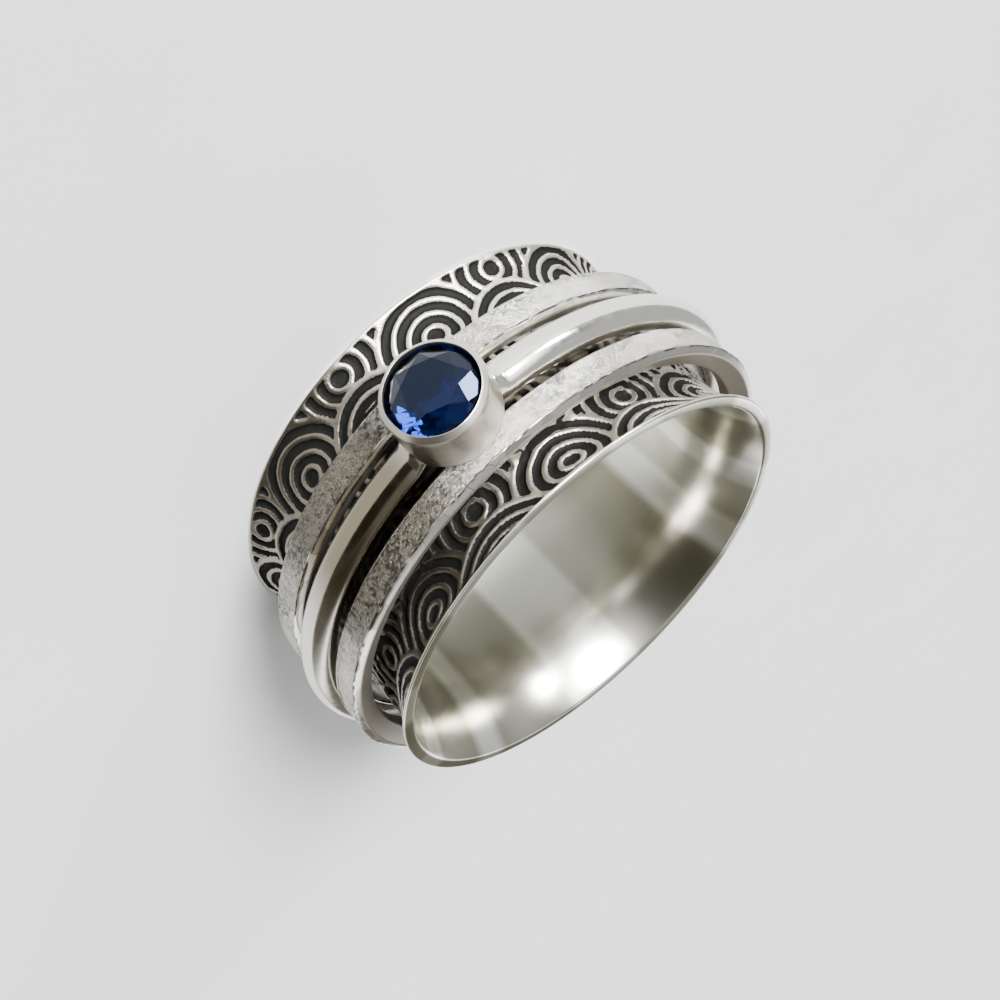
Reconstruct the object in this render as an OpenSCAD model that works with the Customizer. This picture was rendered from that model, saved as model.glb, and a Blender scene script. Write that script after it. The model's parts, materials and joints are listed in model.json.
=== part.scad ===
// Spinner ring in sterling silver, size 9 (US): a wide band with flared rims carries three loose
// rings that turn round it, two flat textured ones and a polished half-round one between them.
// The half-round ring has a round bezel soldered on, which holds a faceted sapphire.
// Millimetres. The ring lies on its side: the finger hole runs along Z with its middle at the
// origin, the back rim is underneath, and the stone points to -Y.

/* [Band] */
// inside diameter of the band at its middle
finger_d = 19; // [16:0.1:21]
// width of the band from rim to rim
band_w = 11.7; // [11.5:0.1:12.5]
// thickness of the band's wall, raised lines included
band_wall = 0.9; // [0.8:0.05:1.1]
// how far each rim flares out beyond the raised lines
flare_rise = 0.9; // [0.8:0.05:1.1]
// how much of the width each flare takes
flare_w = 2.4; // [2:0.1:2.6]
// how much of the width each inside flare takes, which is longer and gentler
throat_w = 4.35; // [3.9:0.05:4.8]
// width of the plain face left on each rim
rim_face_w = 0.65; // [0.5:0.05:0.8]

/* [Wave relief] */
// how many columns of scales go round the band
columns = 16; // [14:2:18]
// radius of a scale, and the step from one scale to the next in its column
scale_r = 2.95; // [2.8:0.05:3]
// depth of the dark grooves under the raised lines
groove_depth = 0.25; // [0.15:0.05:0.3]
// width of a groove
groove_w = 0.48; // [0.4:0.02:0.5]
// width of the raised edge round a scale
edge_w = 0.3; // [0.25:0.01:0.35]
// radius of the dark heart in the middle of a scale
heart_r = 0.43; // [0.35:0.01:0.46]
// plain border between the grooves and a rim
border_w = 0.35; // [0.3:0.05:0.4]

/* [Loose rings] */
// gap all round between the band and the loose rings
ring_play = 0.6; // [0.5:0.05:0.7]
// thickness of a textured ring
textured_t = 1.2; // [1:0.05:1.4]
// width of a textured ring
textured_w = 1.55; // [1.3:0.05:1.6]
// bevel along the outer edges of a textured ring
textured_bevel = 0.2; // [0.1:0.05:0.3]
// height of the half-round ring, from its inside to its crest
wire_h = 1.75; // [1.6:0.05:1.9]
// width of the half-round ring
wire_w = 1.8; // [1.6:0.05:1.9]
// gap between one loose ring and the next
ring_gap = 0.48; // [0.4:0.02:0.6]
// how far the half-round ring sits towards the front rim from the band's middle
stack_z = 0.75; // [0.5:0.05:0.8]

/* [Stone and bezel] */
// diameter of the sapphire across its girdle
stone_d = 4.1; // [3.8:0.05:4.3]
// height of the stone's crown over its girdle
crown_h = 0.62; // [0.5:0.02:0.7]
// depth of the stone's pavilion under its girdle
pavilion_h = 1.5; // [1.3:0.05:1.6]
// thickness of the bezel's wall beside the stone
bezel_wall = 0.2; // [0.18:0.01:0.25]
// height of the bezel's outer edge over the crest of the half-round ring
bezel_rise = 1.9; // [1.85:0.05:2.2]
// how far the lip that holds the stone leans in over it
lip_in = 0.3; // [0.28:0.01:0.34]
// height of the lip over the bezel's outer edge
lip_rise = 0.25; // [0.2:0.01:0.3]
// sides of the stone's table
table_sides = 8; // [8:1:10]

/* [Hidden] */
$fn = 96;

// band: its outside is straight between the flares, and each flare is one arc tangent to that
bore_r = finger_d / 2;
line_r = bore_r + band_wall;
rim_r = line_r + flare_rise;
half_w = band_w / 2;
flare_z = half_w - flare_w;
flare_arc = arc_through(flare_w, flare_rise);
throat_z = half_w - throat_w;
throat_rise = rim_r - rim_face_w - bore_r;
throat_arc = arc_through(half_w - throat_z, throat_rise);

// wave relief: each scale is covered by the three above it, and shows what they leave
column_turn = 360 / columns;
column_step = 2 * line_r * sin(column_turn / 2);
bow_count = 3;
bow_reach = scale_r - edge_w;
groove_step = (bow_reach - heart_r) / bow_count;
row_inset = 0.2;
first_row = border_w + row_inset - half_w;
last_row = half_w + bow_reach - 2 * border_w;
// a scale is cut straight in, so its cut starts where the curved floor is lowest at its sides
cut_from = (line_r - groove_depth) * cos(asin(scale_r / line_r)) - 0.1;
cut_to = rim_r + groove_depth;

// loose rings
spin_r = line_r + ring_play;
textured_r = spin_r + textured_t;
crest_r = spin_r + wire_h;
spin_step = (wire_w + textured_w) / 2 + ring_gap;

// bezel, measured outwards along the stone's own axis
stone_side = -90;
stone_gap = 0.03;
bezel_over_rings = 0.15;
bezel_floor = textured_r + bezel_over_rings;
bezel_edge = crest_r + bezel_rise;
stone_r = stone_d / 2;
seat_r = stone_r + stone_gap;
bezel_r = seat_r + bezel_wall;
lip_r = bezel_r - lip_in;
lip_t = 0.12;
ledge_w = 0.4;
cup_floor = crest_r + 0.08;

// stone: its crown and pavilion points lie where they keep every facet flat
girdle_h = 0.1;
girdle_z = bezel_edge - lip_t / 2 - stone_gap - girdle_h;
ledge_z = girdle_z - stone_gap;
table_r = 0.58 * stone_r;
star_r = 0.82 * stone_r;
low_r = 0.3 * stone_r;
half_turn = cos(180 / table_sides);
star_h = crown_h * (stone_r - star_r * half_turn) / (stone_r - table_r);
low_h = pavilion_h * (1 - low_r * half_turn / stone_r);

// Radius of the arc that starts straight, and is off by rise after the given length.
function arc_through(length, rise) = (length * length + rise * rise) / (2 * rise);

// Cut through the band's wall, where x is the distance from the axis and y the height.
module band_profile() {
    difference() {
        translate([bore_r, -half_w]) square([rim_r - bore_r, band_w]);
        translate([line_r, -flare_z]) square([rim_r, 2 * flare_z]);
        for (side = [-1, 1]) {
            translate([line_r + flare_arc, side * flare_z]) circle(flare_arc);
            mirror([0, (1 - side) / 2]) throat_profile();
        }
    }
}

// What the inside flare takes away at the upper rim.
module throat_profile() {
    difference() {
        translate([bore_r - 1, throat_z]) square([throat_rise + 1, band_w]);
        translate([bore_r + throat_arc, throat_z]) circle(throat_arc);
    }
}

// Room outside the grooves' floors, between the two plain borders.
module groove_room() {
    rotate_extrude() intersection() {
        union() {
            translate([line_r - groove_depth, -flare_z]) square([rim_r, 2 * flare_z]);
            for (side = [-1, 1])
                translate([line_r + flare_arc, side * flare_z]) circle(flare_arc + groove_depth);
        }
        translate([line_r - groove_depth, border_w - half_w])
            square([rim_r, band_w - 2 * border_w]);
    }
}

// The grooves of one scale round its centre, crest downwards: a heart with bows round it.
module scale_grooves() {
    difference() {
        union() {
            circle(heart_r);
            for (i = [1 : bow_count]) difference() {
                circle(heart_r + i * groove_step);
                circle(heart_r + i * groove_step - groove_w);
            }
        }
        translate([0, scale_r]) circle(scale_r);
        for (side = [-1, 1])
            translate([side * column_step, scale_r / 2]) circle(scale_r);
    }
}

// One column of scales, cut straight in from the side that the column faces.
module groove_column(low) {
    for (z = [low : scale_r : last_row])
        translate([cut_from, 0, z])
            rotate([90, 0, 90]) linear_extrude(cut_to - cut_from) scale_grooves();
}

module base_band() {
    color("silver") difference() {
        rotate_extrude() band_profile();
        intersection() {
            groove_room();
            for (i = [0 : columns - 1])
                rotate([0, 0, stone_side + (i + 0.5) * column_turn])
                    groove_column(first_row + (i % 2) * scale_r / 2);
        }
    }
}

// A flat ring with its outer edges bevelled, centred on the height z.
module textured_ring(z) {
    half = textured_w / 2;
    translate([0, 0, z]) rotate_extrude() polygon([
        [spin_r, -half],
        [textured_r - textured_bevel, -half],
        [textured_r, textured_bevel - half],
        [textured_r, half - textured_bevel],
        [textured_r - textured_bevel, half],
        [spin_r, half]
    ]);
}

module back_spinner() {
    color("gainsboro") textured_ring(stack_z - spin_step);
}

module front_spinner() {
    color("gainsboro") textured_ring(stack_z + spin_step);
}

// The half-round ring's cut: a flat inside, straight flanks and a round crest.
module wire_profile() {
    crest_arc = wire_w / 2;
    flank_h = wire_h - crest_arc;
    translate([spin_r, -crest_arc]) square([flank_h, wire_w]);
    intersection() {
        translate([spin_r + flank_h, 0]) circle(crest_arc);
        translate([spin_r, -crest_arc]) square([wire_h, wire_w]);
    }
}

// Turns an upright piece so that its own +Z points outwards at the stone.
module at_stone() {
    translate([0, 0, stack_z]) rotate([0, 90, stone_side]) children();
}

// The bezel's cup with the room for the stone, the ledge under it and the lip leaning over it.
module bezel() {
    rotate_extrude() polygon([
        [0, bezel_floor],
        [bezel_r, bezel_floor],
        [bezel_r, bezel_edge],
        [lip_r, bezel_edge + lip_rise],
        [lip_r, bezel_edge + lip_rise - lip_t],
        [seat_r, bezel_edge - lip_t / 2],
        [seat_r, ledge_z],
        [seat_r - ledge_w, ledge_z - ledge_w],
        [seat_r - ledge_w, cup_floor],
        [0, cup_floor]
    ]);
}

module middle_spinner() {
    color("silver") {
        translate([0, 0, stack_z]) rotate_extrude() wire_profile();
        at_stone() bezel();
    }
}

// Points round the stone's axis at one height, half a step on where turned is 1.
function stone_ring(count, radius, height, turned) = [
    for (i = [0 : count - 1])
        let (a = 360 * (i + turned / 2) / count)
            [radius * cos(a), radius * sin(a), height]
];

// Round cut: table, star facets, kites and halves over the girdle, halves and mains under it.
module stone_cut() {
    n = table_sides;
    rim = 2 * n;
    points = concat(
        stone_ring(n, table_r, girdle_h + crown_h, 0),
        stone_ring(n, star_r, girdle_h + star_h, 1),
        stone_ring(rim, stone_r, girdle_h, 0),
        stone_ring(rim, stone_r, 0, 0),
        stone_ring(n, low_r, -low_h, 1),
        [[0, 0, -pavilion_h]]
    );
    star = n;
    top = star + n;
    under = top + rim;
    low = under + rim;
    culet = low + n;
    faces = concat(
        [[for (i = [n - 1 : -1 : 0]) i]],
        [for (i = [0 : n - 1]) [i, (i + 1) % n, star + i]],
        [for (i = [0 : n - 1]) [i, star + i, top + 2 * i, star + (i + n - 1) % n]],
        [for (i = [0 : rim - 1]) [star + floor(i / 2), top + (i + 1) % rim, top + i]],
        [for (i = [0 : rim - 1]) [top + i, top + (i + 1) % rim, under + (i + 1) % rim, under + i]],
        [for (i = [0 : rim - 1]) [under + i, under + (i + 1) % rim, low + floor(i / 2)]],
        [for (i = [0 : n - 1]) [under + 2 * i, low + i, culet, low + (i + n - 1) % n]]
    );
    polyhedron(points, faces);
}

module sapphire() {
    color("darkblue") at_stone() translate([0, 0, girdle_z]) stone_cut();
}

base_band();
back_spinner();
middle_spinner();
front_spinner();
sapphire();
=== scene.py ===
# %% [markdown]
# A silver spinner ring, lying on its side. A wide band with flared rims carries three loose rings:
# two flat ones with a fine grain on their faces, and a polished half-round one between them with
# a sapphire in a round bezel. The band itself is covered with a wave pattern, cast raised and then
# blackened in its hollows. This lesson builds each of them as a surface worked out with numpy,
# finishes the metal as a silversmith would, and lights it like a small object near a window.

import json
import math

import bpy
import numpy as np
from mathutils import Matrix, Vector


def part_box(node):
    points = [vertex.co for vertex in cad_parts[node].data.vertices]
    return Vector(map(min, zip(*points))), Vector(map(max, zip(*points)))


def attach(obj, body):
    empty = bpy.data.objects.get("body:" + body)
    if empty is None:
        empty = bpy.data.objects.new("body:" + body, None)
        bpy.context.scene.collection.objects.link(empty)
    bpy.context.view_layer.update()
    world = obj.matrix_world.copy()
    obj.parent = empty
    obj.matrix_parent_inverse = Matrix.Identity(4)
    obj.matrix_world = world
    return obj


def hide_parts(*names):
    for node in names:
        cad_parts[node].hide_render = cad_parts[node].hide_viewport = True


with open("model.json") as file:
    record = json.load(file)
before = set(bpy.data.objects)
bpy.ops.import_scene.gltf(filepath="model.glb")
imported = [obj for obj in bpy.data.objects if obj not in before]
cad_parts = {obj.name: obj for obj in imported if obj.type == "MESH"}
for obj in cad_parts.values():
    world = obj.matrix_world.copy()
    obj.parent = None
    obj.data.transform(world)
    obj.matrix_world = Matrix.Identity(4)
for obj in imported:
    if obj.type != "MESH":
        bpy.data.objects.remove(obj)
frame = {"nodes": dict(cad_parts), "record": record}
scene = bpy.context.scene
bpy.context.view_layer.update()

# %% [markdown]
# Every size below is in millimetres, as a jeweller measures, and becomes metres only when a mesh
# is made. The outside sizes come from the frame's own solids, so a new surface always lies where
# its solid is; what a solid hides inside its box, such as where the flare begins, is named here.

# %% Sizes in millimetres
MM = 0.001


def reach(node):
    """Lowest and highest corner of a solid, in millimetres."""
    low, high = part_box(node)
    return np.array(low) / MM, np.array(high) / MM


bore_r = next(m["dims"]["r_mm"] for m in frame["record"]["mounts"] if m["name"] == "finger_hole")
rim_r, half_w = reach("base_band")[1][0], reach("base_band")[1][2]
flare_rise, flare_w, throat_w, rim_face_w = 0.9, 2.4, 4.35, 0.65
line_r = rim_r - flare_rise
ring_play = 0.6
spin_r = line_r + ring_play
print(f"bore {bore_r:.2f}, waist {line_r:.2f}, rim {rim_r:.2f}, half width {half_w:.2f}")

# %% [markdown]
# The camera stands where the photograph was taken from: a little above the plane of the ring and
# almost straight in front of the stone. The picture shows the ring tipped over, so the camera is
# rolled by the same amount. An aim, a distance and a roll say this more plainly than a matrix.

# %% Camera
VIEW_AROUND = math.radians(4.17)
VIEW_ABOVE = math.radians(25.08)
VIEW_ROLL = math.radians(-134.61)
VIEW_DISTANCE = 72.98
LENS_MM = 55.17
AIM = Vector((0.18, -0.36, -0.77))

eye = VIEW_DISTANCE * Vector((
    math.sin(VIEW_AROUND) * math.cos(VIEW_ABOVE),
    -math.cos(VIEW_AROUND) * math.cos(VIEW_ABOVE),
    math.sin(VIEW_ABOVE),
))
forward = (AIM - eye).normalized()
level = forward.cross(Vector((0, 0, 1))).normalized()
upright = level.cross(forward)
up = math.cos(VIEW_ROLL) * upright + math.sin(VIEW_ROLL) * level
right = forward.cross(up)

camera = bpy.data.objects.new("camera", bpy.data.cameras.new("camera"))
camera.data.lens = LENS_MM
camera.data.clip_start, camera.data.clip_end = 0.001, 10
facing = Matrix((right, up, -forward)).transposed().to_4x4()
camera.matrix_world = Matrix.Translation(eye * MM) @ facing
scene.collection.objects.link(camera)
scene.camera = camera
print("camera at", [round(c, 2) for c in eye], "mm")

# %% [markdown]
# All the rings are the same kind of surface: an outline carried round the finger hole. Blender
# could do that with a Screw modifier, but then nothing could ripple or wear on the way round. So
# the points are worked out as one array, with a row for each point of the outline and a column
# for each step of the turn, and a single helper turns such an array into a closed mesh.

# %% From a grid of points to a mesh
def grid_piece(name, points, fields=None, open_ends=False):
    """Makes a mesh object from points[row, column], in millimetres.

    Columns always join up into a loop. Rows do as well, or with open_ends the first and the last
    row are each closed by a fan round their middle. Faces are turned outwards by the sign of the
    volume that they hold: the sum, over triangles, of one corner dot the cross product of the
    other two, over six. fields holds a value for each point, by name.
    """
    rows, columns = points.shape[:2]
    index = np.arange(rows * columns).reshape(rows, columns)
    ahead = np.roll(index, -1, axis=1)
    last = rows - 1 if open_ends else rows
    here = np.arange(last)
    after = (here + 1) % rows
    faces = np.stack([index[here], ahead[here], ahead[after], index[after]], -1).reshape(-1, 4)
    places = points.reshape(-1, 3)
    if open_ends:
        places = np.vstack([places, points[0].mean(0), points[-1].mean(0)])
    a, b, c, d = (places[faces[:, k]] for k in range(4))
    volume = np.sum(a * np.cross(b, c) + a * np.cross(c, d)) / 6
    faces = faces.tolist()
    if open_ends:
        low, high = rows * columns, rows * columns + 1
        faces += np.stack([ahead[0], index[0], np.full(columns, low)], -1).tolist()
        faces += np.stack([index[-1], ahead[-1], np.full(columns, high)], -1).tolist()
    if volume < 0:
        faces = [face[::-1] for face in faces]
    mesh = bpy.data.meshes.new(name)
    mesh.from_pydata((places * MM).tolist(), [], faces)
    mesh.shade_smooth()
    for field, values in (fields or {}).items():
        spare = len(places) - values.size
        values = np.append(values.ravel(), np.zeros(spare)).astype(np.float32)
        mesh.attributes.new(field, "FLOAT", "POINT").data.foreach_set("value", values)
    piece = bpy.data.objects.new(name, mesh)
    scene.collection.objects.link(piece)
    print(f"{name}: {len(faces)} faces, {abs(volume):.0f} cubic mm")
    return piece


def turned(outline, turn):
    """Carries an outline of (distance from the axis, height) round Z: x = r cos t, y = r sin t."""
    r, z = outline[..., 0], outline[..., 1]
    return np.stack([r * np.cos(turn), r * np.sin(turn), z], -1)


print("a quarter turn carries (1, 0) to", turned(np.array([1.0, 0.0]), math.pi / 2).round(3))

# %% [markdown]
# No edge on worn silver is sharp, and it is the thin bright line along each rounded edge that
# makes metal look like metal. Rather than a Bevel modifier, the outlines are rounded themselves:
# at each corner, two straight runs are joined by a curve that touches both.

# %% Rounded outlines
MOST_OF_A_SIDE = 0.45


def rounded(corners, steps=5):
    """Replaces each (x, y, radius) corner of a closed outline by a curve that touches both sides.

    The curve is (1 - t) squared of its start, 2 t (1 - t) of the corner and t squared of its end.
    """
    corners = np.asarray(corners, float)
    path = []
    for i, (x, y, radius) in enumerate(corners):
        here = np.array([x, y])
        back = corners[i - 1, :2] - here
        on = corners[(i + 1) % len(corners), :2] - here
        if radius == 0:
            path.append(here[None])
            continue
        back_way, on_way = back / np.linalg.norm(back), on / np.linalg.norm(on)
        half = math.acos(np.clip(back_way @ on_way, -1, 1)) / 2
        shorter = min(np.linalg.norm(back), np.linalg.norm(on))
        run = min(radius / math.tan(half), MOST_OF_A_SIDE * shorter)
        t = np.linspace(0, 1, steps)[:, None]
        start, end = here + back_way * run, here + on_way * run
        path.append((1 - t) ** 2 * start + 2 * t * (1 - t) * here + t**2 * end)
    return np.vstack(path)


def sideways(path):
    """Unit normals of a closed path: the way from one neighbour to the other, turned a quarter."""
    along = np.roll(path, -1, axis=0) - np.roll(path, 1, axis=0)
    along /= np.linalg.norm(along, axis=1, keepdims=True) + 1e-9
    return np.stack([along[:, 1], -along[:, 0]], -1)


square = rounded([(0, 0, 0.1), (1, 0, 0.1), (1, 1, 0.1), (0, 1, 0.1)])
print("a rounded square has", len(square), "points")

# %% [markdown]
# Handwork is uneven, so every ring needs some randomness that runs smoothly and closes up after a
# full turn. Blender's noise texture can't close up round a ring, so here random values sit on the
# corners of a grid that wraps round, and are eased from corner to corner. A fixed seed keeps each
# dent where it is.

# %% Noise that closes up round a ring
def ease(t):
    """Smooth step from 0 to 1: three t squared less two t cubed, held flat outside."""
    t = np.clip(t, 0, 1)
    return t * t * (3 - 2 * t)


def unevenness(around, across, cells_around, cells_across, seed, blend=ease):
    """Random heights from -1 to 1; around and across run from 0 to 1, and around wraps.

    Each point takes 1 - t of one corner of its cell and t of the next, in both directions. blend
    shapes that t: eased for dents, straight for hammered planes.
    """
    lattice = np.random.default_rng(seed).uniform(-1, 1, (cells_around, cells_across + 2))
    u, v = (around % 1) * cells_around, np.clip(across, 0, 1) * cells_across
    i, j = np.floor(u).astype(int) % cells_around, np.floor(v).astype(int)
    s, t = blend(u - np.floor(u)), blend(v - np.floor(v))
    i_on = (i + 1) % cells_around
    lower = lattice[i, j] * (1 - s) + lattice[i_on, j] * s
    upper = lattice[i, j + 1] * (1 - s) + lattice[i_on, j + 1] * s
    return lower * (1 - t) + upper * t


print("two seeds differ:", unevenness(0.3, 0.5, 8, 4, 1) != unevenness(0.3, 0.5, 8, 4, 2))

# %% [markdown]
# The outside of the band is straight in the middle and flares out at both rims in an arc. One
# function gives that arc's height and another its length, because the pattern was on the metal
# before the flare was hammered out: it follows the length of the surface, not the height in Z.

# %% The flare
flare_z = half_w - flare_w


def arc_rise(z, start, length, rise):
    """How far an arc has risen off a straight line.

    It leaves the line, tangent, where |z| is start, and is off it by rise at start + length. Its
    radius is (length squared + rise squared) / (2 rise), and its rise the radius less the root of
    radius squared less run squared.
    """
    radius = (length**2 + rise**2) / (2 * rise)
    run = np.maximum(np.abs(z) - start, 0)
    return radius - np.sqrt(np.maximum(radius**2 - run**2, 0))


def outer_r(z):
    """Radius of the outside of the band: the waist, and an arc over each flare."""
    return line_r + arc_rise(z, flare_z, flare_w, flare_rise)


def along_surface(z):
    """Distance from the middle of the band along its outside: |z| as far as the flare, and from
    there on the arc's radius times the arcsine of run over radius."""
    radius = (flare_w**2 + flare_rise**2) / (2 * flare_rise)
    run = np.clip(np.abs(z) - flare_z, 0, flare_w)
    return np.sign(z) * (np.minimum(np.abs(z), flare_z) + radius * np.arcsin(run / radius))


print(f"a rim lies {along_surface(half_w):.2f} mm from the middle along the surface")

# %% [markdown]
# The wave pattern is the old one of overlapping scales. Sixteen columns stand round the band with
# every second one half a step higher, and each scale is a heart with three bows round it, a little
# wider than it is high. Drawing it as a picture would need an image, and as separate ridges
# hundreds of pieces. Instead it is one rule: lay the scales from the back rim to the front, let
# each new one cover what is under it, and keep for every point how deep inside a groove it lies.

# %% The wave pattern as a field
COLUMNS = 16
STONE_SIDE = -math.pi / 2
SQUASH = 0.87
ROUND_ENDS = 0.12
SPREAD, SPREAD_TURN = 0.035, 0.4
HALF_ROWS = range(-1, 10)
row_step, first_row = 2.95, -5.28
scale_r, heart_r, groove_step, groove_w, border_w = 2.69, 0.4, 0.676, 0.43, 0.2


def soft_least(a, b, blend):
    """The smaller of two values, with the corner between them rounded over the given width: where
    they are closer than that, (blend - their difference) squared over 4 blend is taken off."""
    return np.minimum(a, b) - np.maximum(blend - np.abs(a - b), 0) ** 2 / (4 * blend)


def bows(d):
    """How far inside the heart or a bow a point at distance d from the scale's centre lies: the
    greatest of heart_r - d and, for each bow, half its width less the distance to its middle."""
    inside = heart_r - d
    for i in (1, 2, 3):
        middle = heart_r + i * groove_step - groove_w / 2
        inside = np.maximum(inside, groove_w / 2 - np.abs(d - middle))
    return inside


def wave_field(turn, z, wobble):
    """Millimetres inside a groove at each point, negative on the raised lines.

    Scales are laid in order of height. Inside its own edge a scale shows its bows, and outside
    it the ones laid before keep theirs, rounded off where they run under that edge. The distance
    from a scale's centre is the root of the way across squared and the way up squared, the second
    divided by SQUASH. The columns stand wider apart near the stone, by SPREAD.
    """
    pitch = 4 * math.pi / COLUMNS
    marked = turn - SPREAD * np.sin(turn - STONE_SIDE - SPREAD_TURN)
    height = along_surface(z)
    field = np.full(z.shape, -1.0)
    for step in HALF_ROWS:
        column = STONE_SIDE + (0.5 + step % 2) * pitch / 2
        off = (marked - column + pitch / 2) % pitch - pitch / 2
        over = (height - first_row - step * row_step / 2) / SQUASH
        d = np.hypot(line_r * np.sin(off), over) + wobble
        field = np.where(d < scale_r, bows(d), soft_least(field, d - scale_r, ROUND_ENDS))
    return soft_least(field, half_w - border_w - np.abs(z), ROUND_ENDS)


probe = wave_field(np.array([0.0]), np.array([0.0]), 0)
print(f"halfway up the side the field is {probe[0]:.2f} mm")

# %% [markdown]
# A casting starts from its section, so the band starts from its outline: up the outside, over the
# flat face of the front rim, down through the finger hole and back over the other rim. Its straight
# runs get points in between, close together where grooves are cut and far apart where the loose
# rings hide the metal, because a piece has only so many faces to spend.

# %% Points along an outline
def filled(path, spacing, closed=True):
    """Adds points along each side of a path, start + t (end - start) with t in even steps;
    spacing gives the widest gap at a given (x, y)."""
    ends = np.roll(path, -1, axis=0) if closed else path[1:]
    runs = []
    for start, end in zip(path, ends):
        count = math.ceil(np.linalg.norm(end - start) / spacing(*(start + end) / 2))
        t = np.linspace(0, 1, max(count, 1), endpoint=False)[:, None]
        runs.append(start + (end - start) * t)
    return np.vstack(runs if closed else runs + [path[-1:]])


throat_z = half_w - throat_w
throat_rise = rim_r - rim_face_w - bore_r
rings_low, rings_high = reach("back_spinner")[0][2], reach("front_spinner")[1][2]
RIM_ROUND = 0.2
trim = 2.3 * RIM_ROUND

up_flare = np.linspace(flare_z, half_w - trim, 28)
down_bore = np.linspace(half_w - trim, throat_z, 12)
outer_z = np.concatenate([-up_flare[::-1], up_flare])
inner_z = np.concatenate([down_bore, -down_bore[::-1]])
outer = [(outer_r(z), z, 0) for z in outer_z]
inner = [(bore_r + arc_rise(z, throat_z, throat_w, throat_rise), z, 0) for z in inner_z]
lips = [(rim_r, half_w, RIM_ROUND), (rim_r - rim_face_w, half_w, RIM_ROUND)]
feet = [(rim_r - rim_face_w, -half_w, RIM_ROUND), (rim_r, -half_w, RIM_ROUND)]


def band_spacing(r, z):
    """Fine on the outside beyond the loose rings, coarse under them and inside."""
    hidden = rings_low + 0.3 < z < rings_high - 0.3
    return 0.6 if r < outer_r(z) - 0.01 else 0.3 if hidden else 0.1


outline = filled(rounded(outer + lips + inner + feet, steps=5), band_spacing)
print(len(outline), "points round the section of the band")

# %% [markdown]
# The band is a grid now: rows for the points of its section and columns for the steps of the turn.
# At each of its points the wave rule says how deep inside a groove it lies. That number also goes
# along with the mesh as an attribute, and the finish reads it to know where to be black. Small
# wobbles keep the lines from looking machined.

# %% The grid of the band and its grooves
TURN_STEPS = 740
turn = np.linspace(0, 2 * math.pi, TURN_STEPS, endpoint=False)[None, :]
r, z = outline[:, :1] + 0 * turn, outline[:, 1:] + 0 * turn
around, across = turn / (2 * math.pi) + 0 * z, (z + half_w) / (2 * half_w)
wobble = 0.03 * unevenness(around, across, 60, 11, 3)
wobble = wobble + 0.012 * unevenness(around, across, 170, 30, 4)
groove = wave_field(turn, z, wobble) + 0.015 * unevenness(around, across, 210, 38, 5)
relief = r > outer_r(z) - 0.01
groove = np.where(relief, groove, -0.5)
polish = np.where(relief, ease((np.abs(z) - half_w + border_w) / 0.1), 1.0)
print(f"{100 * np.mean(groove[relief] > 0):.0f}% of the points outside lie in a groove")

# %% [markdown]
# The inside gets painted reflections: light streaks along the finger hole, with duller, yellower
# silver painted between them, standing in for the room mirrored in the bore. They are colour only,
# so they go along as an attribute too. Each has a middle and a half width, in degrees round the
# ring.

# %% Painted reflection streaks inside
PAINTED_STREAKS = [(5, 2), (34, 2), (78, 9), (133, 3), (157, 1.5), (196, 8), (243, 4), (288, 10), (330, 4)]
PAINTED_STREAK_SOFT = 5
stroke = 0.0
for middle, half_wide in PAINTED_STREAKS:
    off = np.abs((np.degrees(turn) - middle + 180) % 360 - 180) + 0 * z
    stroke = stroke + ease(1 - (off - half_wide) / PAINTED_STREAK_SOFT)
stroke = np.clip(stroke + 0.35 + 0.35 * unevenness(around, 0 * across, 22, 1, 7), 0, 1)
print(len(PAINTED_STREAKS), "strokes round the inside")

# %% [markdown]
# The grooves are cut square to the surface, 0.16 mm deep, with the soft shoulders that a casting
# has. They could be left to a bump map, but on a flared rim their outline shows, so the points
# themselves move. Everything but the polished parts also gets the faint skin of a casting.

# %% The base band
GROOVE_DEPTH, SHOULDER, CAST_SKIN = 0.16, 0.08, 0.012
cut = GROOVE_DEPTH * ease((groove + SHOULDER / 4) / SHOULDER)
cut += (1 - polish) * CAST_SKIN * (1 + unevenness(around, across, 260, 46, 6))
out_r, out_z = sideways(outline).T
shape = np.stack([r - out_r[:, None] * cut, z - out_z[:, None] * cut], -1)
# The fourth field holds the inside's painted reflection streaks.
fields = {"groove": groove, "polish": polish, "inside": 1.0 - relief, "stroke": stroke}
band = grid_piece("band", turned(shape, turn), fields)
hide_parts("base_band")
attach(band, "band")

# %% [markdown]
# The two flat rings are rolled strip. Towards the front rim a steep bevel was filed and polished on
# the edge of the face, and the sides are cut back under it, which is why a flat ring shows so thin
# an edge beside its dark gap. The points lie close together only on the face, where the grain is.

# %% Section of a flat ring
BEVEL_DEEP, BEVEL_HIGH, UNDERCUT = 0.2, 0.38, 0.38


def flat_section(top_r, foot_z, head_z):
    """A rectangle from spin_r to top_r and from foot_z to head_z, less a bevel and an undercut."""
    corners = [
        (top_r, foot_z, 0.1),
        (top_r, head_z - BEVEL_DEEP, 0.05),
        (top_r - BEVEL_HIGH, head_z, 0.12),
        (spin_r, head_z - UNDERCUT, 0.1),
        (spin_r, foot_z + UNDERCUT, 0.1),
        (top_r - BEVEL_HIGH, foot_z, 0.12),
    ]

    def spacing(r, z):
        return 0.05 if r > top_r - 0.1 else 0.1 if r > top_r - 0.6 else 0.3

    return filled(rounded(corners, steps=6), spacing)


low, high = reach("front_spinner")
print(len(flat_section(high[0], low[2], high[2])), "points round the section of a flat ring")

# %% [markdown]
# A grain is worked into the face. Silver that was heated until its skin wrinkled looks like this:
# planes a few millimetres across, each tilted a little against the next, and over them a grain of a
# tenth or two of a millimetre, rougher in some patches than in others. It stops at the bevel in a
# ragged line, a little torn. The finish reads all of this from attributes, as on the band.

# %% The two grained rings
GRAIN_STEPS = 1300
PLANE_DEPTH, GRAIN_DEPTH, TORN_DEPTH = 0.05, 0.08, 0.025
LESSER_PLANES = 0.35
TORN_HALF_W = 0.05


def straight(t):
    """No easing: planes that meet at an edge."""
    return t


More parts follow.
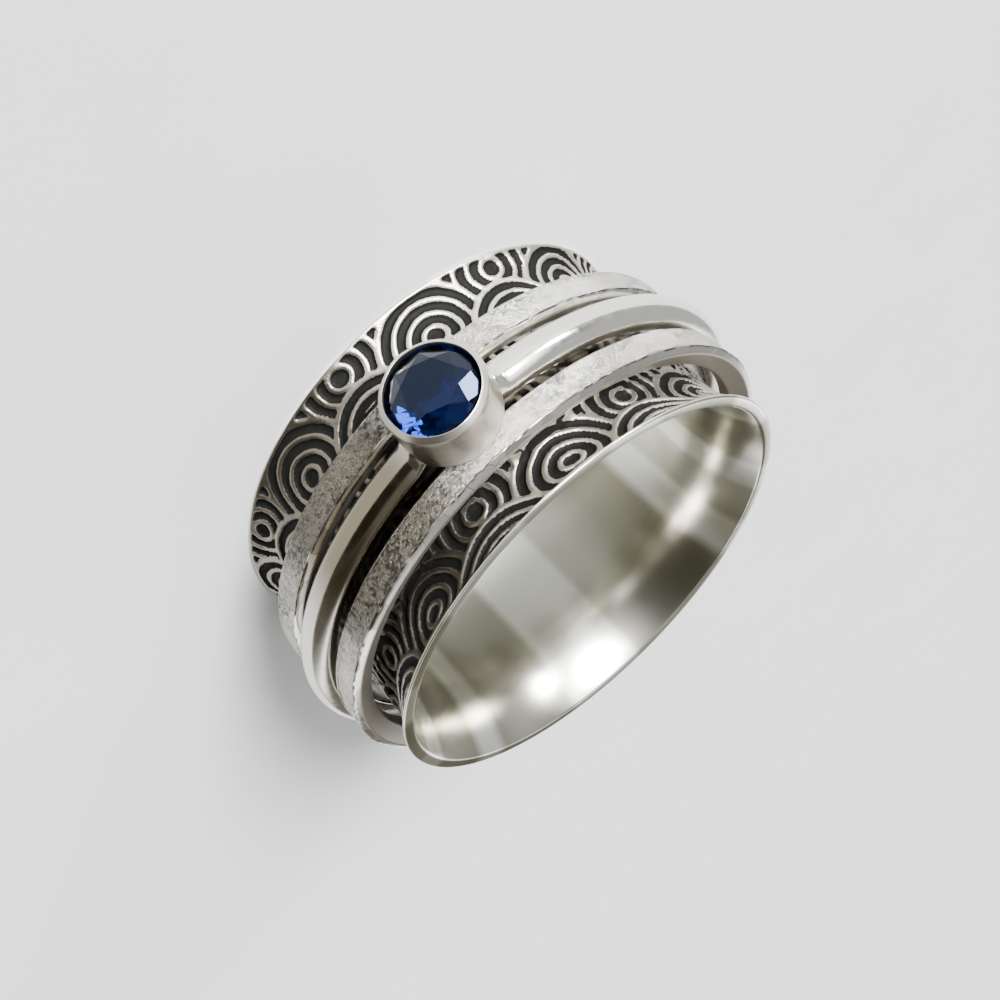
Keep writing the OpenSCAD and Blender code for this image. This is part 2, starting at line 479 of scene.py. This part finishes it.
def grained_ring(name, node, body, seed):
    """A flat section turned round Z, its face worn down by planes and grain.

    Where the face is grained, its depth is PLANE_DEPTH times how far the planes are worn down, and
    GRAIN_DEPTH times the low grain in rough patches. At the bevel, TORN_DEPTH comes on top.
    """
    low, high = reach(node)
    top_r, foot_z, head_z = high[0], low[2], high[2]
    section = flat_section(top_r, foot_z, head_z)
    turn = np.linspace(0, 2 * math.pi, GRAIN_STEPS, endpoint=False)[None, :]
    r, z = section[:, :1] + 0 * turn, section[:, 1:] + 0 * turn
    around, across = turn / (2 * math.pi) + 0 * z, (z - foot_z) / (head_z - foot_z)
    flat = 0 * across
    ragged = 0.06 * unevenness(around, flat, 90, 1, seed)
    ragged = ragged + 0.03 * unevenness(around, flat, 290, 1, seed + 1)
    from_bevel = head_z - BEVEL_DEEP - 0.02 - ragged - z
    face = ease((r - top_r + 0.12) / 0.08)
    grain = face * ease(from_bevel / TORN_HALF_W)
    torn = face * np.clip(1.3 - np.abs(from_bevel) / TORN_HALF_W, 0, 1)
    dull = ease((top_r - BEVEL_HIGH + 0.12 - r) / 0.1)
    planes = unevenness(around, across, 34, 1, seed + 2, straight)
    planes = planes + LESSER_PLANES * unevenness(around, across, 90, 2, seed + 3, straight)
    rough_patch = 0.45 + 0.55 * ease(unevenness(around, across, 40, 1, seed + 4) + 0.5)
    fine = 0.6 * unevenness(around, across, 760, 15, seed + 5)
    fine = fine + 0.4 * unevenness(around, across, 330, 7, seed + 6)
    low_grain = 0.5 - 0.5 * fine
    worn_down = PLANE_DEPTH * (1 + LESSER_PLANES - planes)
    depth = grain * (worn_down + GRAIN_DEPTH * low_grain * rough_patch) + TORN_DEPTH * torn
    out_r, out_z = sideways(section).T
    shape = np.stack([r - out_r[:, None] * depth, z - out_z[:, None] * depth], -1)
    # hollow marks where the grain is low; the finish paints shade there.
    hollow = grain * rough_patch * ease((low_grain - 0.25) / 0.6)
    fields = {"grain": grain, "hollow": hollow, "torn": torn, "dull": dull}
    ring = grid_piece(name, turned(shape, turn), fields)
    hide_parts(node)
    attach(ring, body)
    return ring


back_ring = grained_ring("back_ring", "back_spinner", "back_ring", 11)
front_ring = grained_ring("front_ring", "front_spinner", "front_ring", 31)

# %% [markdown]
# Between them turns a half-round wire that carries the stone. It is drawn and polished, so its
# section is exact: two flanks and a half circle on top. Where the setting is soldered on, solder
# creeps up the wall of the setting, and the wire is drawn up towards it in a small soft slope.

# %% The polished wire
WIRE_STEPS = 600
SOLDER_RUN, SOLDER_RISE = 0.55, 0.3

low, high = reach("middle_spinner")
crest_r, lip_top = high[1], -low[1]
bezel_r, stone_z = (high[2] - low[2]) / 2, (high[2] + low[2]) / 2
wire_w = 1.8
flank_r = crest_r - wire_w / 2
swing = np.linspace(-math.pi / 2, math.pi / 2, 33)
crown = [(flank_r + wire_w / 2 * math.cos(a), stone_z + wire_w / 2 * math.sin(a), 0) for a in swing]
corners = crown + [(spin_r, stone_z + wire_w / 2, 0.1), (spin_r, stone_z - wire_w / 2, 0.1)]
section = filled(rounded(corners), lambda r, z: 0.2)

turn = np.linspace(0, 2 * math.pi, WIRE_STEPS, endpoint=False)[None, :]
shape = section[:, None, :] + 0 * turn[..., None]
points = turned(shape, turn)
away = np.hypot(points[..., 0], points[..., 2] - stone_z) - bezel_r
creep = ease(1 - away / SOLDER_RUN) ** 2 * (points[..., 1] < 0)
on_top = ease((shape[..., 0] - flank_r) / (wire_w / 2))
points[..., 1] -= SOLDER_RISE * creep * on_top
wire = grid_piece("wire", points)

# %% [markdown]
# The setting is a tube of sheet silver, closed below, whose upper edge is pushed over the stone all
# round. It is the same kind of surface as the rings, turned about the stone's own axis instead. The
# pushed edge is never perfectly round, so it wavers by a few hundredths of a millimetre.

# %% The setting round the stone
SETTING_STEPS = 220
WAVER_IN, WAVER_DOWN = 0.015, 0.012
setting_floor, setting_edge, cup_floor = 12.35, 14.65, 12.83
lip_r, lip_t, seat_r = 1.98, 0.12, 2.08

corners = [
    (1.0, setting_floor, 0),
    (bezel_r, setting_floor, 0.12),
    (bezel_r, setting_edge, 0.07),
    (lip_r + 0.07, lip_top, 0.05),
    (lip_r + 0.04, lip_top - 0.1, 0.03),
    (seat_r, lip_top - lip_t - 0.2, 0),
    (seat_r, cup_floor + 0.2, 0.1),
    (1.0, cup_floor, 0),
]
section = filled(rounded(corners), lambda x, y: 0.09, closed=False)
swing = np.linspace(0, 2 * math.pi, SETTING_STEPS, endpoint=False)[None, :]
across, height = section[:, :1] + 0 * swing, section[:, 1:] + 0 * swing
near_lip = ease((height - setting_edge + 0.25) / 0.2)
waver = unevenness(swing / (2 * math.pi) + 0 * height, 0 * height, 17, 1, 51)
across = across - WAVER_IN * near_lip * (1 + waver)
height = height - WAVER_DOWN * near_lip * (1 + waver)
points = np.stack([across * np.cos(swing), -height, stone_z + across * np.sin(swing)], -1)
setting = grid_piece("setting", points, open_ends=True)
for piece in (wire, setting):
    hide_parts("middle_spinner")
    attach(piece, "stone_ring")

# %% [markdown]
# Materials come next. Each is a small tree of shader nodes. Colours are easiest to choose as the
# hex codes that a picture editor shows, but shaders reckon in linear light, so one function turns
# the one into the other. A second adds a node with its settings and links in one call. Patterns are
# read in object coordinates, which are metres here, so their scale comes from a size in mm.

# %% Helpers for materials
def colour(code):
    """A hex sRGB code such as #8899AA as linear red, green, blue and an alpha of 1.

    A dark part is divided by 12.92; any other has 0.055 added, is divided by 1.055 and then
    raised to the power of 2.4.
    """
    parts = [int(code[i:i + 2], 16) / 255 for i in (1, 3, 5)]
    return [p / 12.92 if p <= 0.04045 else ((p + 0.055) / 1.055) ** 2.4 for p in parts] + [1]


def add(tree, kind, inputs=None, **settings):
    """Adds a shader node. settings are its properties, and inputs its sockets' values or links."""
    node = tree.nodes.new("ShaderNode" + kind)
    for name, value in settings.items():
        setattr(node, name, value)
    for name, value in (inputs or {}).items():
        if isinstance(value, bpy.types.NodeSocket):
            tree.links.new(value, node.inputs[name])
        else:
            node.inputs[name].default_value = value
    return node


def new_material(name):
    """An empty material; returns it, its node tree and the output node."""
    material = bpy.data.materials.new(name)
    material.use_nodes = True
    tree = material.node_tree
    tree.nodes.clear()
    return material, tree, tree.nodes.new("ShaderNodeOutputMaterial")


def per_mm(size):
    """The noise scale that makes features of about that many millimetres: one over the size."""
    return 1 / (size * MM)


print("silver white in linear light:", [round(c, 2) for c in colour("#C9C4BA")])

# %% [markdown]
# Every piece gets a painted shade: its silver is painted darkest on the shoulder beside the stone,
# towards +X. It could be painted with an image, but a slope along X does the same, and all the
# pieces share it.

# %% Painted shade on one side
SIDE_SHADE_FROM, SIDE_SHADE_TO = -0.5 * MM, 3.5 * MM
SHADE_FADE_FROM, SHADE_FADE_TO, SHADE_FADE = 7.5 * MM, 11.0 * MM, 0.7


def painted_side_shade(tree, place):
    """How strong the painted side shade is: a smooth step of x over the first range, times one less
    another smooth step, over the second range, that rises to SHADE_FADE."""
    # dull is the painted shade rising over the first range, and bright eases it off over the second.
    x = add(tree, "SeparateXYZ", {0: place}).outputs["X"]
    dull = {"Value": x, "From Min": SIDE_SHADE_FROM, "From Max": SIDE_SHADE_TO}
    dull = add(tree, "MapRange", dull, interpolation_type="SMOOTHSTEP").outputs[0]
    bright = {"Value": x, "From Min": SHADE_FADE_FROM, "From Max": SHADE_FADE_TO, "To Max": SHADE_FADE}
    bright = add(tree, "MapRange", bright, interpolation_type="SMOOTHSTEP").outputs[0]
    left = add(tree, "Math", {0: 1.0, 1: bright}, operation="SUBTRACT").outputs[0]
    return add(tree, "Math", {0: dull, 1: left}, operation="MULTIPLY").outputs[0]


# The printed range is where the painted side shade is at its darkest.
print(f"dullest between x = {SIDE_SHADE_TO / MM} and {SHADE_FADE_FROM / MM} mm")

# %% [markdown]
# The band is cast sterling silver, blackened with liver of sulphur and then rubbed back. The black
# sulphide stays in the grooves, dull and slightly grainy, and in the tiny pits of the casting. Where
# it begins comes from the band's own attribute, roughened a little by a fine noise.

# %% Blackened cast silver: where the black is
cast_silver, tree, out = new_material("blackened_cast_silver")
place = add(tree, "TexCoord").outputs["Object"]
groove_at = add(tree, "Attribute", attribute_name="groove").outputs["Fac"]
polish_at = add(tree, "Attribute", attribute_name="polish").outputs["Fac"]
inside_at = add(tree, "Attribute", attribute_name="inside").outputs["Fac"]
# The inside's painted reflection streaks, read from the band.
painted_streaks_at = add(tree, "Attribute", attribute_name="stroke").outputs["Fac"]
speck = add(tree, "TexNoise", {"Vector": place, "Scale": per_mm(0.09), "Detail": 3.0}).outputs["Fac"]
cloud = add(tree, "TexNoise", {"Vector": place, "Scale": per_mm(1.1), "Detail": 4.0}).outputs["Fac"]

edge_noise = add(tree, "MapRange", {"Value": speck, "To Min": -0.03, "To Max": 0.03}).outputs[0]
edge = add(tree, "Math", {0: groove_at, 1: edge_noise}, operation="ADD").outputs[0]
black = {"Value": edge, "From Min": -0.03, "From Max": 0.005}
black = add(tree, "MapRange", black, interpolation_type="SMOOTHSTEP").outputs[0]
bare = add(tree, "Math", {0: 1.0, 1: polish_at}, operation="SUBTRACT").outputs[0]
pit = add(tree, "MapRange", {"Value": speck, "From Min": 0.34, "From Max": 0.27}).outputs[0]
pit = add(tree, "Math", {0: pit, 1: bare}, operation="MULTIPLY").outputs[0]
soot = add(tree, "Math", {0: black, 1: pit}, operation="MAXIMUM").outputs[0]
print("so far", len(tree.nodes), "nodes say where the black is")

# %% [markdown]
# The raised lines are rubbed bare but not polished, so they keep a satin bloom. The plain border
# and the faces of the rims were buffed on a wheel. The inside is polished, with painted reflections
# on it: bright streaks and greyer, yellower silver between them. Towards +X the silver is painted
# darker, a painted shade. Sulphide isn't a metal, so in the black both the metallic value and the
# gloss drop.

# %% Blackened cast silver: colour and gloss
satin_grey, satin_white = colour("#B3ABA0"), colour("#E0DACF")
# The second colour below is the painted shade towards +X.
buffed_white, shaded_side_colour = colour("#E6E2D9"), colour("#6F695E")
# The painted reflections of the inside: silver between the streaks, and in them.
between_painted_streaks, in_painted_streaks = colour("#A19E8C"), colour("#F9F8F1")
soot_black, soot_grey = colour("#060605"), colour("#181816")

rubbed = add(tree, "Mix", {0: cloud, 6: satin_grey, 7: satin_white}, data_type="RGBA").outputs[2]
clean_and_painted_light = add(tree, "Mix", {0: polish_at, 6: rubbed, 7: buffed_white}, data_type="RGBA").outputs[2]
# Painted shade: the silver turns darker towards +X.
side_shade = painted_side_shade(tree, place)
clean_and_painted_light = add(tree, "Mix", {0: side_shade, 6: clean_and_painted_light, 7: shaded_side_colour}, data_type="RGBA").outputs[2]
# The inside gets the painted reflection streaks instead.
inner = {0: painted_streaks_at, 6: between_painted_streaks, 7: in_painted_streaks}
inner = add(tree, "Mix", inner, data_type="RGBA").outputs[2]
clean_and_painted_light = add(tree, "Mix", {0: inside_at, 6: clean_and_painted_light, 7: inner}, data_type="RGBA").outputs[2]
sulphide = add(tree, "Mix", {0: speck, 6: soot_black, 7: soot_grey}, data_type="RGBA").outputs[2]
tint = add(tree, "Mix", {0: soot, 6: clean_and_painted_light, 7: sulphide}, data_type="RGBA").outputs[2]

metal = add(tree, "MapRange", {"Value": soot, "To Min": 1.0, "To Max": 0.1}).outputs[0]
sheen = add(tree, "MapRange", {"Value": soot, "To Min": 0.5, "To Max": 0.1}).outputs[0]
satin = add(tree, "MapRange", {"Value": cloud, "To Min": 0.3, "To Max": 0.46}).outputs[0]
buffed = add(tree, "MapRange", {"Value": inside_at, "To Min": 0.27, "To Max": 0.2}).outputs[0]
gloss = add(tree, "Mix", {0: polish_at, 2: satin, 3: buffed}).outputs[0]
rough = add(tree, "Mix", {0: soot, 2: gloss, 3: 0.62}).outputs[0]
tooth = add(tree, "Math", {0: speck, 1: bare}, operation="MULTIPLY").outputs[0]
bump = add(tree, "Bump", {"Height": tooth, "Distance": 0.03 * MM, "Strength": 0.5}).outputs[0]
links = {"Base Color": tint, "Metallic": metal, "Roughness": rough, "Specular IOR Level": sheen}
shader = add(tree, "BsdfPrincipled", {**links, "Normal": bump})
tree.links.new(shader.outputs[0], out.inputs[0])
band.data.materials.append(cast_silver)
print(cast_silver.name, "has", len(tree.nodes), "nodes")

# %% [markdown]
# The face of a flat ring isn't one white. It has patches of slightly different brightness, and here
# and there a short dark crack between two of them. A cell texture gives both, the patches by its
# colour and the cracks by its distance to an edge. Its place is stirred by a noise first, so that
# no side of a cell is straight.

# %% Grained silver: patches and cracks
PATCH_MM, STIR_MM = 1.5, 0.5
grained_silver, tree, out = new_material("grained_silver")
place = add(tree, "TexCoord").outputs["Object"]
cloud = add(tree, "TexNoise", {"Vector": place, "Scale": per_mm(1.6), "Detail": 3.0}).outputs["Fac"]
stir = add(tree, "TexNoise", {"Vector": place, "Scale": per_mm(0.6), "Detail": 3.0}).outputs["Color"]
stir = add(tree, "VectorMath", {0: stir, "Scale": STIR_MM * MM}, operation="SCALE").outputs[0]
stirred = add(tree, "VectorMath", {0: place, 1: stir}, operation="ADD").outputs[0]
cells = {"Vector": stirred, "Scale": per_mm(PATCH_MM)}
patch = add(tree, "TexVoronoi", cells).outputs["Color"]
tone = add(tree, "SeparateXYZ", {0: patch}).outputs["X"]
seam = add(tree, "TexVoronoi", cells, feature="DISTANCE_TO_EDGE").outputs["Distance"]
crack = {"Value": seam, "From Min": 0.03, "From Max": 0.008, "To Max": 0.55}
crack = add(tree, "MapRange", crack).outputs[0]
some = add(tree, "MapRange", {"Value": cloud, "From Min": 0.53, "From Max": 0.6}).outputs[0]
crack = add(tree, "Math", {0: crack, 1: some}, operation="MULTIPLY").outputs[0]
print("so far", len(tree.nodes), "nodes make patches and cracks")

# %% [markdown]
# The grain's high points stay bright, and its hollows and pits are painted grey-brown, a painted
# shade; the short cracks are dark marks of their own. The mesh carries the planes and the coarse
# grain. Grain finer than the mesh is left to a bump, drawn a little coarser than it is so that it
# shows. The bevel was burnished bright, the torn line beside it kept its black, and the cut back
# sides were never polished. Towards +X the face is painted darker as well, a painted shade.

# %% Grained silver: colour and gloss
patch_grey, patch_white = colour("#B5B0A7"), colour("#F1EEE7")
shaded_side_colour, hollow_shade_brown = colour("#666157"), colour("#2B2824")
torn_brown, side_grey = colour("#2E2723"), colour("#A29D94")
grain_at = add(tree, "Attribute", attribute_name="grain").outputs["Fac"]
hollow_at = add(tree, "Attribute", attribute_name="hollow").outputs["Fac"]
torn_at = add(tree, "Attribute", attribute_name="torn").outputs["Fac"]
dull_at = add(tree, "Attribute", attribute_name="dull").outputs["Fac"]
grit = {"Vector": place, "Scale": per_mm(0.15), "Detail": 4.0, "Roughness": 0.65}
grit = add(tree, "TexNoise", grit).outputs["Fac"]

# The painted side shade, kept to the grained face.
side_shade = painted_side_shade(tree, place)
grain_side_shade = add(tree, "Math", {0: side_shade, 1: grain_at}, operation="MULTIPLY").outputs[0]
worn = add(tree, "Mix", {0: tone, 6: patch_grey, 7: patch_white}, data_type="RGBA").outputs[2]
# worn is the random patch tone, and from this line on the painted side shade too.
worn = add(tree, "Mix", {0: grain_side_shade, 6: worn, 7: shaded_side_colour}, data_type="RGBA").outputs[2]
# Painted shade in the low grain and in the pits below, with the dark cracks mixed in.
depth = add(tree, "Math", {0: hollow_at, 1: grit}, operation="MULTIPLY").outputs[0]
hollow_shade_and_cracks = {"Value": depth, "From Min": 0.1, "From Max": 0.42, "To Max": 0.9}
hollow_shade_and_cracks = add(tree, "MapRange", hollow_shade_and_cracks).outputs[0]
hollow_shade_and_cracks = add(tree, "Math", {0: hollow_shade_and_cracks, 1: crack}, operation="MAXIMUM").outputs[0]
pit_shade = {"Value": grit, "From Min": 0.49, "From Max": 0.36, "To Max": 0.8}
pit_shade = add(tree, "MapRange", pit_shade).outputs[0]
pit_shade = add(tree, "Math", {0: pit_shade, 1: grain_at}, operation="MULTIPLY").outputs[0]
# The painted shade in hollows and pits is strongest where the side is painted darker.
kept = add(tree, "MapRange", {"Value": side_shade, "To Min": 0.62, "To Max": 1.0}).outputs[0]
shade = add(tree, "Math", {0: hollow_shade_and_cracks, 1: pit_shade}, operation="MAXIMUM").outputs[0]
shade = add(tree, "Math", {0: shade, 1: kept}, operation="MULTIPLY").outputs[0]
tint = add(tree, "Mix", {0: shade, 6: worn, 7: hollow_shade_brown}, data_type="RGBA").outputs[2]
tint = add(tree, "Mix", {0: torn_at, 6: tint, 7: torn_brown}, data_type="RGBA").outputs[2]
tint = add(tree, "Mix", {0: dull_at, 6: tint, 7: side_grey}, data_type="RGBA").outputs[2]

rough = add(tree, "MapRange", {"Value": grain_at, "To Min": 0.12, "To Max": 0.27}).outputs[0]
rough = add(tree, "Mix", {0: dull_at, 2: rough, 3: 0.45}).outputs[0]
tooth = add(tree, "Math", {0: grit, 1: grain_at}, operation="MULTIPLY").outputs[0]
bump = add(tree, "Bump", {"Height": tooth, "Distance": 0.13 * MM, "Strength": 1.0}).outputs[0]
links = {"Base Color": tint, "Roughness": rough, "Normal": bump}
shader = add(tree, "BsdfPrincipled", {**links, "Metallic": 1.0})
tree.links.new(shader.outputs[0], out.inputs[0])
for ring in (back_ring, front_ring):
    ring.data.materials.append(grained_silver)
print(grained_silver.name, "has", len(tree.nodes), "nodes")

# %% [markdown]
# The wire was drawn, soldered and then polished, so it reflects the room almost like a mirror. What
# tells it from chrome is its warmer white, and the faint soft scratches that a ring gets in wear.
# Towards +X its colour is painted darker, a painted shade.

# %% Polished drawn silver
# The second colour is the painted shade towards +X.
warm_white, shaded_side_colour = colour("#F1EEE7"), colour("#746C5C")
polished_silver, tree, out = new_material("polished_drawn_silver")
place = add(tree, "TexCoord").outputs["Object"]
wear = add(tree, "TexNoise", {"Vector": place, "Scale": per_mm(0.7), "Detail": 5.0}).outputs["Fac"]
rough = {"Value": wear, "From Min": 0.35, "From Max": 0.7, "To Min": 0.1, "To Max": 0.22}
rough = add(tree, "MapRange", rough).outputs[0]
bump = add(tree, "Bump", {"Height": wear, "Distance": 0.02 * MM, "Strength": 0.3}).outputs[0]
side_shade = painted_side_shade(tree, place)
tint = add(tree, "Mix", {0: side_shade, 6: warm_white, 7: shaded_side_colour}, data_type="RGBA").outputs[2]
links = {"Base Color": tint, "Roughness": rough, "Normal": bump}
shader = add(tree, "BsdfPrincipled", {**links, "Metallic": 1.0})
tree.links.new(shader.outputs[0], out.inputs[0])
wire.data.materials.append(polished_silver)
print(polished_silver.name, "has", len(tree.nodes), "nodes")

# %% [markdown]
# The setting was finished with a fine abrasive held against it as it turned, so hair lines run
# round it. A noise that is stretched round the stone's axis and fine along it gives those lines.
# Towards +X its colour is painted darker, a painted shade.

# %% Brushed silver of the setting
# The last colour is the painted shade towards +X.
brushed_grey, brushed_white, shaded_side_colour = colour("#B9B3A7"), colour("#E6E2D8"), colour("#6E685D")
brushed_silver, tree, out = new_material("round_brushed_silver")
place = add(tree, "TexCoord").outputs["Object"]
stretch = {"Vector": place, "Scale": (per_mm(2.5), per_mm(0.05), per_mm(2.5))}
stretch = add(tree, "Mapping", stretch).outputs[0]
hair = add(tree, "TexNoise", {"Vector": stretch, "Scale": 1.0, "Detail": 3.0}).outputs["Fac"]
tint = add(tree, "Mix", {0: hair, 6: brushed_grey, 7: brushed_white}, data_type="RGBA").outputs[2]
side_shade = painted_side_shade(tree, place)
tint = add(tree, "Mix", {0: side_shade, 6: tint, 7: shaded_side_colour}, data_type="RGBA").outputs[2]
bump = add(tree, "Bump", {"Height": hair, "Distance": 0.02 * MM, "Strength": 0.4}).outputs[0]
links = {"Base Color": tint, "Normal": bump}
shader = add(tree, "BsdfPrincipled", {**links, "Metallic": 1.0, "Roughness": 0.3})
tree.links.new(shader.outputs[0], out.inputs[0])
setting.data.materials.append(brushed_silver)
print(brushed_silver.name, "has", len(tree.nodes), "nodes")

# %% [markdown]
# Sapphire is clear corundum coloured by traces of iron and titanium. Light that enters is bent
# strongly, tossed about between the facets and comes out as flashes of blue, and where none comes
# back the stone looks nearly black. The facets are already in the solid, so it keeps its own mesh
# and only gets the glass. A blue specular tint keeps the pale sheet's reflection from greying it.

# %% Sapphire
sapphire_glass, tree, out = new_material("faceted_sapphire")
shader = add(tree, "BsdfPrincipled", {"Roughness": 0.0, "IOR": 1.77, "Transmission Weight": 1.0})
shader.inputs["Specular Tint"].default_value = colour("#6C7CA4")
shader.inputs["Base Color"].default_value = colour("#030A2C")
tree.links.new(shader.outputs[0], out.inputs[0])
stone = frame["nodes"]["sapphire"]
stone.data.materials.clear()
stone.data.materials.append(sapphire_glass)
print("the stone has", len(stone.data.polygons), "triangles")

# %% [markdown]
# The ring lies on a large pale sheet. A real one would be paper swept up behind the object; here a
# plain square that runs far past the view does the same, with a slight unevenness in its tone.

# %% Floor
FLOOR_HALF = 4000.0
corner, level = FLOOR_HALF * MM, -half_w * MM
corner_signs = [(-1, -1), (1, -1), (1, 1), (-1, 1)]
mesh = bpy.data.meshes.new("floor")
mesh.from_pydata([(x * corner, y * corner, level) for x, y in corner_signs], [], [(0, 1, 2, 3)])
floor = bpy.data.objects.new("floor", mesh)
scene.collection.objects.link(floor)
paper_grey, paper_white = colour("#E3E5E6"), colour("#E9EBEB")
paper, tree, out = new_material("pale_paper")
place = add(tree, "TexCoord").outputs["Object"]
fibre = add(tree, "TexNoise", {"Vector": place, "Scale": per_mm(9), "Detail": 3.0}).outputs["Fac"]
tint = add(tree, "Mix", {0: fibre, 6: paper_grey, 7: paper_white}, data_type="RGBA").outputs[2]
shader = add(tree, "BsdfPrincipled", {"Base Color": tint, "Roughness": 0.8})
tree.links.new(shader.outputs[0], out.inputs[0])
mesh.materials.append(paper)
print("the sheet lies", round(level / MM, 2), "mm from the middle of the band")

# %% [markdown]
# Polished metal shows its surroundings, so the room matters as much as the lamps. The world is a
# pale room, painted by direction: each pane is a soft-edged patch, so many degrees wide and high.
# Bright panes are windows. Dark and warm ones are what gives a silver ring its streaks.

# %% How a pane is painted
SOFT_EDGE = math.radians(9)
world = bpy.data.worlds.new("room")
scene.world = world
world.use_nodes = True
tree = world.node_tree
tree.nodes.clear()
look = add(tree, "TexCoord").outputs["Generated"]


def near(angle, middle, size):
    """1 where an angle is within size / 2 degrees of the middle, and a smooth step down to 0 over
    SOFT_EDGE to both sides of that."""
    off = add(tree, "Math", {0: angle, 1: math.radians(middle)}, operation="SUBTRACT").outputs[0]
    off = add(tree, "Math", {0: off}, operation="ABSOLUTE").outputs[0]
    edge = math.radians(size / 2)
    fade = {"Value": off, "From Min": edge + SOFT_EDGE, "From Max": edge - SOFT_EDGE}
    return add(tree, "MapRange", fade, interpolation_type="SMOOTHSTEP").outputs[0]


def pane(under, around, above, width, height, code, power):
    """Paints a soft rectangle over a colour: it lies around degrees anticlockwise from +X and above
    degrees over the horizon, and power makes it brighter than its colour.

    Once the direction is turned back by that angle, atan2(y, x) is how far it is to the side, and
    asin(z) is how high. The mask is the product of the two.
    """
    spin = {"Vector": look, "Angle": -math.radians(around)}
    spun = add(tree, "VectorRotate", spin, rotation_type="Z_AXIS").outputs[0]
    axes = add(tree, "SeparateXYZ", {0: spun}).outputs
    side = add(tree, "Math", {0: axes["Y"], 1: axes["X"]}, operation="ARCTAN2").outputs[0]
    climb = add(tree, "Math", {0: axes["Z"]}, operation="ARCSINE").outputs[0]
    across, up_down = near(side, 0, width), near(climb, above, height)
    mask = add(tree, "Math", {0: across, 1: up_down}, operation="MULTIPLY").outputs[0]
    light = [power * c for c in colour(code)]
    return add(tree, "Mix", {0: mask, 6: under, 7: light}, data_type="RGBA").outputs[2]


print("a pane's edge is", round(2 * math.degrees(SOFT_EDGE)), "degrees wide")

# %% [markdown]
# Seven panes make the room. Dark warm ones run from the near side, round by +X, to the far side,
# and a narrow cool one stands towards -X. Three are brighter than white: the window itself, on the
# near side, and two narrow gaps on the far side, which draw light streaks on the rings.

# %% The room
PANES = [  # around, above, width and height in degrees, then the colour and its power
    (-50, 24, 60, 50, "#5C5A50", 1),
    (5, 30, 50, 60, "#7C7A6C", 1),
    (75, 30, 40, 60, "#8A887A", 1),
    (-125, 34, 44, 52, "#FFFFFF", 3),
    (-158, 24, 12, 30, "#6A7078", 1),
    (48, 36, 10, 60, "#FFFFFF", 4),
    (112, 32, 14, 60, "#FFFFFF", 4),
]
room = add(tree, "RGB").outputs[0]
room.default_value = colour("#D2D4D4")
for one in PANES:
    room = pane(room, *one)
sky = add(tree, "Background", {"Color": room, "Strength": 0.9})
tree.links.new(sky.outputs[0], add(tree, "OutputWorld").inputs[0])
print("the room has", len(tree.nodes), "nodes")

# %% [markdown]
# Two lamps add what a painted room lacks: a direction. The first is the window, low on the near
# side of the ring. In the rolled picture it shines from the upper right, and it throws the soft
# shadow. The second is a white card of the kind that a photographer holds up, low towards -X: one
# facet of the stone looks straight at it and shines white. Both are sun lamps with a wide angle.
# They light the sheet evenly out to its corners, where a nearer lamp would leave them dark.

# %% Window and card
def sun(name, strength, wide, towards):
    """A sun lamp, wide degrees across, turned so that its -Z, where it shines, points towards."""
    lamp = bpy.data.objects.new(name, bpy.data.lights.new(name, "SUN"))
    lamp.data.energy = strength
    lamp.data.angle = math.radians(wide)
    lamp.rotation_euler = Vector(towards).to_track_quat("-Z", "Y").to_euler()
    scene.collection.objects.link(lamp)
    print(name, "shines towards", towards)


sun("window", 12.0, 22, (0.38, 0.81, -0.46))
sun("card", 3.2, 12, (0.8, 0.556, -0.22))
